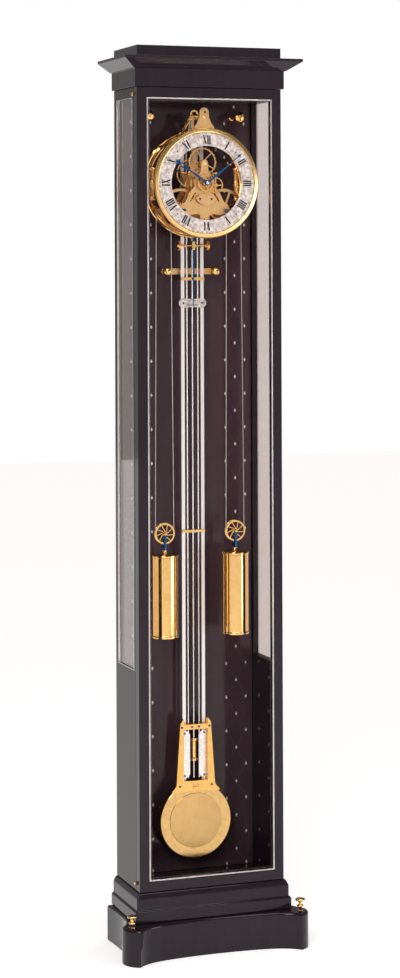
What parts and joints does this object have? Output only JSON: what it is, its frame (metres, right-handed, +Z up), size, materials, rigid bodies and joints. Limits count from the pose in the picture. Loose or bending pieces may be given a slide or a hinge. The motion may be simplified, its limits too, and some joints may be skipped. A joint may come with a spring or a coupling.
{
  "type": "longcase clock",
  "caption": "Tall slim glazed longcase clock with a hinged door, open dial movement, long pendulum and pulley-hung weights on a lacquered case with a moulded cornice and plinth.",
  "frame": {"origin": "centre of the footprint on the floor, under the middle of the overall box", "axes": "+Z up, the door and dial face -Y, +X to the right as one faces the dial"},
  "size_m": [0.427, 0.224, 1.9783],
  "materials": {
    "lacquer": "polished dark lacquer",
    "brass": "polished and lacquered",
    "satin_brass": "satin",
    "silvered": "silvered, mottled",
    "steel": "polished",
    "blued_steel": "blued",
    "glass": "clear",
    "gut": "twisted line"
  },
  "bodies": {
    "case": {"plinth": "lacquer", "base_moulding": "lacquer", "side_panel_left": "lacquer", "side_panel_right": "lacquer", "back_panel": "lacquer", "cornice": "lacquer", "crown_block": "lacquer", "side_glass_left": "glass", "side_glass_right": "glass", "hinge_upper": "brass", "hinge_lower": "brass", "rear_frame": "satin_brass", "wall_post_left": "brass", "wall_post_right": "brass", "guard_bar": "brass", "front_plate": "satin_brass", "front_cock": "satin_brass", "bezel": "brass", "chapter_ring": "silvered"},
    "door": {"door_frame": "lacquer", "door_trim": "steel", "door_glass": "glass"},
    "level_foot_left": {"level_pad_left": "steel"},
    "level_foot_right": {"level_pad_right": "steel"},
    "level_knob_left": {"level_screw_left": "brass"},
    "level_knob_right": {"level_screw_right": "brass"},
    "pendulum": {"suspension_spring": "steel", "pendulum_head": "brass", "outer_rod_left": "steel", "outer_rod_right": "steel", "inner_rod_left": "brass", "inner_rod_right": "brass", "centre_rod": "steel", "upper_cross_bar": "brass", "lower_cross_bar": "brass", "beat_scale": "silvered"},
    "bob_carrier": {"bob_bracket": "brass", "bob": "brass"},
    "nut": {"rating_nut": "brass"},
    "escapement": {"anchor": "steel", "crutch": "blued_steel"},
    "third": {"third_wheel": "brass"},
    "escape": {"escape_wheel": "brass"},
    "centre": {"centre_wheel": "brass", "minute_hand": "blued_steel"},
    "hour": {"hour_hand": "blued_steel"},
    "minute_work": {"minute_wheel": "brass"},
    "intermediate": {"intermediate_wheel": "brass"},
    "great_left": {"great_wheel_left": "brass"},
    "great_right": {"great_wheel_right": "brass"},
    "drum_left": {"barrel_left": "brass"},
    "drum_right": {"barrel_right": "brass"},
    "hanging_left": {"weight_left": "brass", "pulley_fork_left": "blued_steel", "line_left": "gut"},
    "hanging_right": {"weight_right": "brass", "pulley_fork_right": "blued_steel", "line_right": "gut"},
    "sheave_left": {"pulley_left": "brass"},
    "sheave_right": {"pulley_right": "brass"}
  },
  "joints": [
    {"name": "door_swing", "type": "hinge", "parent": "case", "child": "door", "pos_m": [-0.1708, -0.02835, 0.1424], "axis": [0, 0, -1], "range_deg": [0, 120]},
    {"name": "level_travel_left", "type": "slide", "parent": "case", "child": "level_foot_left", "axis": [0, 0, -1], "range_m": [0, 0.006]},
    {"name": "level_turn_left", "type": "hinge", "parent": "level_foot_left", "child": "level_knob_left", "pos_m": [-0.1947, -0.0795, 0.0785], "axis": [0, 0, -1], "range_deg": [0, 1760]},
    {"name": "level_travel_right", "type": "slide", "parent": "case", "child": "level_foot_right", "axis": [0, 0, -1], "range_m": [0, 0.006]},
    {"name": "level_turn_right", "type": "hinge", "parent": "level_foot_right", "child": "level_knob_right", "pos_m": [0.1947, -0.0795, 0.0785], "axis": [0, 0, -1], "range_deg": [0, 1760]},
    {"name": "pendulum_swing", "type": "hinge", "parent": "case", "child": "pendulum", "pos_m": [0, 0.069, 1.8261], "axis": [0, 1, 0], "range_deg": [-1.8, 1.8]},
    {"name": "anchor_rock", "type": "hinge", "parent": "case", "child": "escapement", "pos_m": [0, 0.069, 1.8261], "axis": [0, 1, 0], "range_deg": [-1.8, 1.8]},
    {"name": "bob_travel", "type": "slide", "parent": "pendulum", "child": "bob_carrier", "axis": [0, 0, 1], "range_m": [-0.002, 0.002]},
    {"name": "rating_turn", "type": "hinge", "parent": "bob_carrier", "child": "nut", "pos_m": [0, 0.069, 0.4184], "axis": [0, 0, 1], "range_deg": [-740, 740]},
    {"name": "third_turn", "type": "hinge", "parent": "case", "child": "third", "pos_m": [-0.0268, 0, 1.7023], "axis": [0, -1, 0], "continuous": true},
    {"name": "escape_turn", "type": "hinge", "parent": "case", "child": "escape", "pos_m": [0, 0, 1.7276], "axis": [0, 1, 0], "continuous": true},
    {"name": "centre_turn", "type": "hinge", "parent": "case", "child": "centre", "pos_m": [0, 0, 1.6806], "axis": [0, 1, 0], "continuous": true},
    {"name": "hour_turn", "type": "hinge", "parent": "case", "child": "hour", "pos_m": [0, 0, 1.6806], "axis": [0, 1, 0], "continuous": true},
    {"name": "minute_work_turn", "type": "hinge", "parent": "case", "child": "minute_work", "pos_m": [0.0242, 0, 1.6761], "axis": [0, -1, 0], "continuous": true},
    {"name": "intermediate_turn", "type": "hinge", "parent": "case", "child": "intermediate", "pos_m": [0, 0, 1.6446], "axis": [0, -1, 0], "continuous": true},
    {"name": "great_turn_left", "type": "hinge", "parent": "case", "child": "great_left", "pos_m": [-0.05, 0, 1.6211], "axis": [0, 1, 0], "continuous": true},
    {"name": "great_turn_right", "type": "hinge", "parent": "case", "child": "great_right", "pos_m": [0.05, 0, 1.6211], "axis": [0, 1, 0], "continuous": true},
    {"name": "weight_travel_left", "type": "slide", "parent": "case", "child": "hanging_left", "axis": [0, 0, 1], "range_m": [-0.5, 0.5], "deforming": ["line_left"]},
    {"name": "drum_turn_left", "type": "hinge", "parent": "case", "child": "drum_left", "pos_m": [-0.05, 0, 1.6211], "axis": [0, 1, 0], "range_deg": [-3700, 3700]},
    {"name": "sheave_turn_left", "type": "hinge", "parent": "hanging_left", "child": "sheave_left", "pos_m": [-0.083, 0.0225, 0.9086], "axis": [0, -1, 0], "range_deg": [-1335, 1335]},
    {"name": "weight_travel_right", "type": "slide", "parent": "case", "child": "hanging_right", "axis": [0, 0, 1], "range_m": [-0.5, 0.5], "deforming": ["line_right"]},
    {"name": "drum_turn_right", "type": "hinge", "parent": "case", "child": "drum_right", "pos_m": [0.05, 0, 1.6211], "axis": [0, -1, 0], "range_deg": [-3700, 3700]},
    {"name": "sheave_turn_right", "type": "hinge", "parent": "hanging_right", "child": "sheave_right", "pos_m": [0.083, 0.0225, 0.9086], "axis": [0, 1, 0], "range_deg": [-1335, 1335]}
  ],
  "couplings": [
    {"joint": "level_turn_left", "follows": "level_travel_left", "rad_per_m": 5026.5},
    {"joint": "level_turn_right", "follows": "level_travel_right", "rad_per_m": 5026.5},
    {"joint": "anchor_rock", "follows": "pendulum_swing", "ratio": 1},
    {"joint": "rating_turn", "follows": "bob_travel", "rad_per_m": 6283.2},
    {"joint": "escape_turn", "follows": "third_turn", "ratio": 6},
    {"joint": "centre_turn", "follows": "third_turn", "ratio": 0.1},
    {"joint": "hour_turn", "follows": "third_turn", "ratio": 0.0083333},
    {"joint": "minute_work_turn", "follows": "third_turn", "ratio": 0.033333},
    {"joint": "intermediate_turn", "follows": "third_turn", "ratio": 0.013333},
    {"joint": "great_turn_left", "follows": "third_turn", "ratio": 0.0016667},
    {"joint": "great_turn_right", "follows": "third_turn", "ratio": 0.0016667},
    {"joint": "drum_turn_left", "follows": "weight_travel_left", "rad_per_m": 129.03},
    {"joint": "sheave_turn_left", "follows": "weight_travel_left", "rad_per_m": 46.512},
    {"joint": "drum_turn_right", "follows": "weight_travel_right", "rad_per_m": 129.03},
    {"joint": "sheave_turn_right", "follows": "weight_travel_right", "rad_per_m": 46.512}
  ]
}
